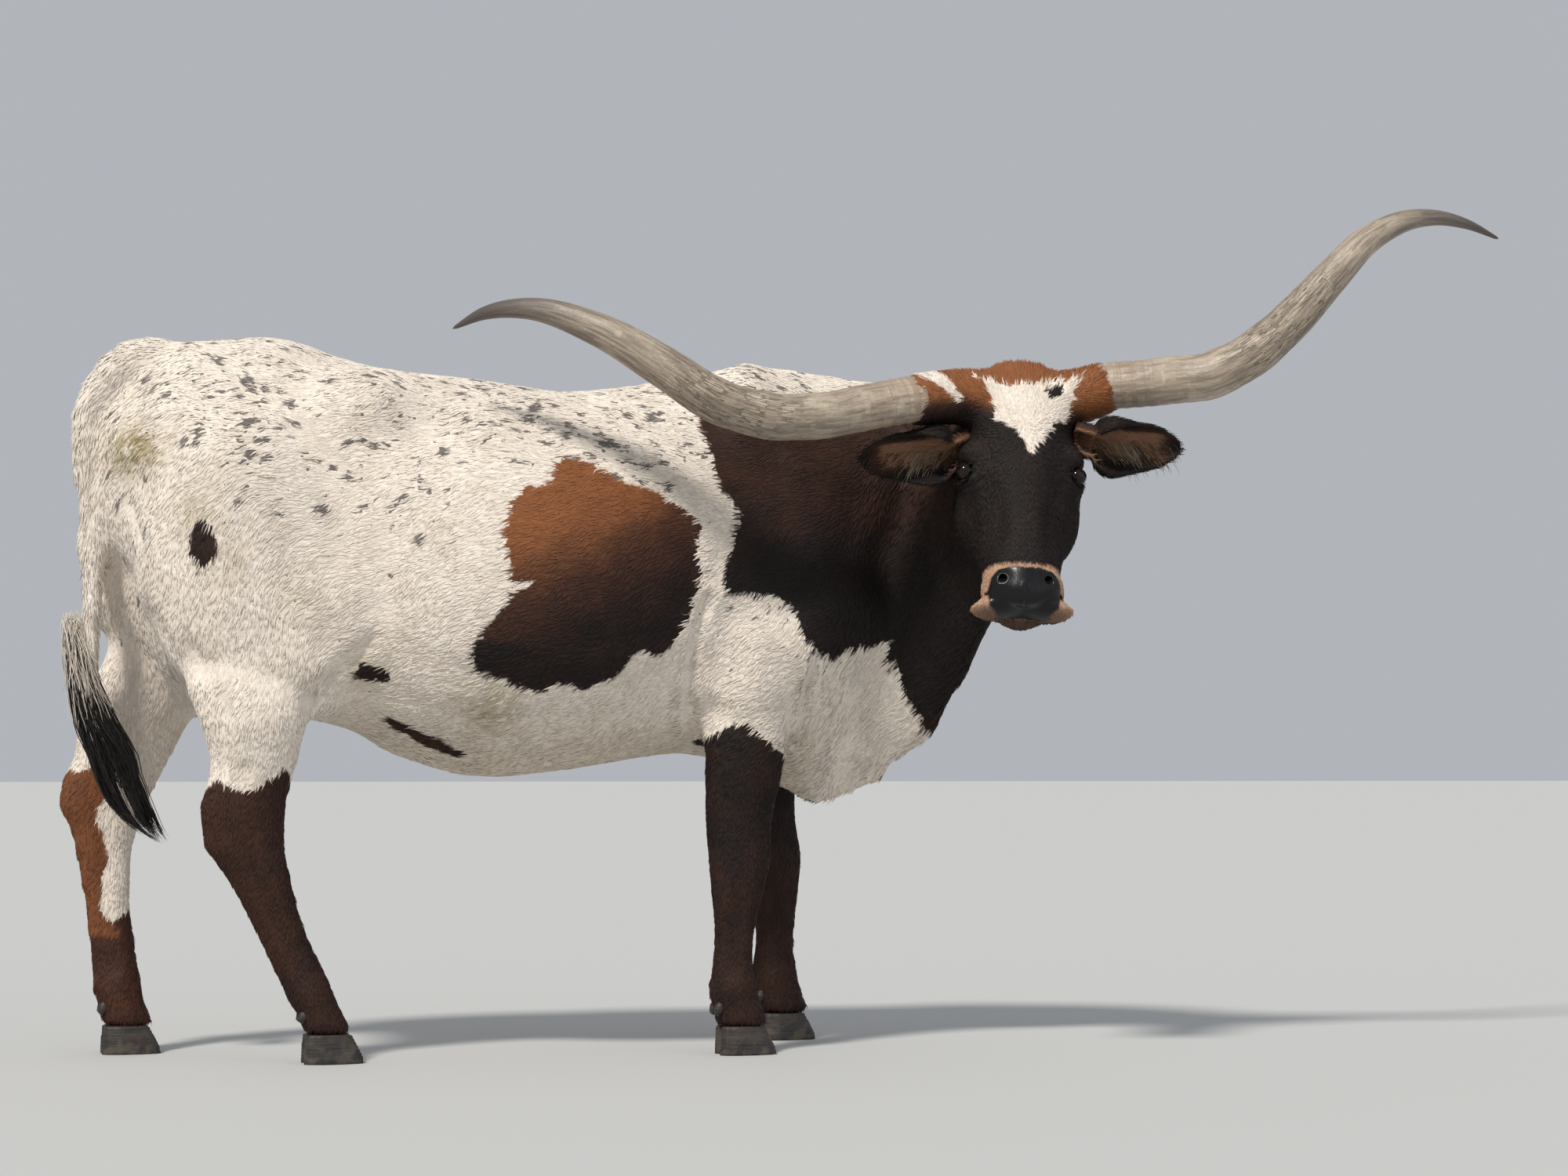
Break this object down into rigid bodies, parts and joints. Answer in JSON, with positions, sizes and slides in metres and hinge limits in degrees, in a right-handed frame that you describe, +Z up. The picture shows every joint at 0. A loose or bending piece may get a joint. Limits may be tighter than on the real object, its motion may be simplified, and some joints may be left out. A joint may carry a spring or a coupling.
{
  "type": "texas longhorn steer",
  "caption": "Life-size standing longhorn steer, head turned to its right, with wide upswept horns, speckled pale coat and dark neck, face and legs; rests on flat hoof soles.",
  "frame": {"origin": "middle of the whole animal's box at floor height", "axes": "+X towards the head end, +Y to the animal's left, +Z up"},
  "size_m": [3.0128, 1.008, 1.7946],
  "materials": {
    "pale_coat": "short cream hair with grey speckles",
    "dark_coat": "short dark brown to black hair",
    "switch_hair": "long black hair",
    "horn": "weathered horn, satin",
    "hoof": "dark hoof horn, satin",
    "eye": "wet dark eye"
  },
  "bodies": {
    "root": {"fore_leg_right": "dark_coat", "claw_fore_right_inner": "hoof", "claw_fore_right_outer": "hoof", "dewclaw_fore_right_inner": "hoof", "dewclaw_fore_right_outer": "hoof", "fore_cannon_right": "dark_coat", "fore_leg_left": "dark_coat", "claw_fore_left_outer": "hoof", "claw_fore_left_inner": "hoof", "dewclaw_fore_left_outer": "hoof", "dewclaw_fore_left_inner": "hoof", "fore_cannon_left": "dark_coat", "hind_leg_right": "dark_coat", "claw_hind_right_inner": "hoof", "claw_hind_right_outer": "hoof", "dewclaw_hind_right_inner": "hoof", "dewclaw_hind_right_outer": "hoof", "hind_cannon_right": "dark_coat", "hind_leg_left": "dark_coat", "claw_hind_left_outer": "hoof", "claw_hind_left_inner": "hoof", "dewclaw_hind_left_outer": "hoof", "dewclaw_hind_left_inner": "hoof", "hind_cannon_left": "dark_coat", "horn_right": "horn", "horn_left": "horn", "ear_right": "dark_coat", "ear_left": "dark_coat", "eye_right": "eye", "eye_left": "eye", "head": "dark_coat", "neck": "dark_coat", "trunk": "pale_coat", "thigh_right": "pale_coat", "thigh_left": "pale_coat", "tail": "pale_coat", "tail_switch": "switch_hair"}
  },
  "joints": []
}
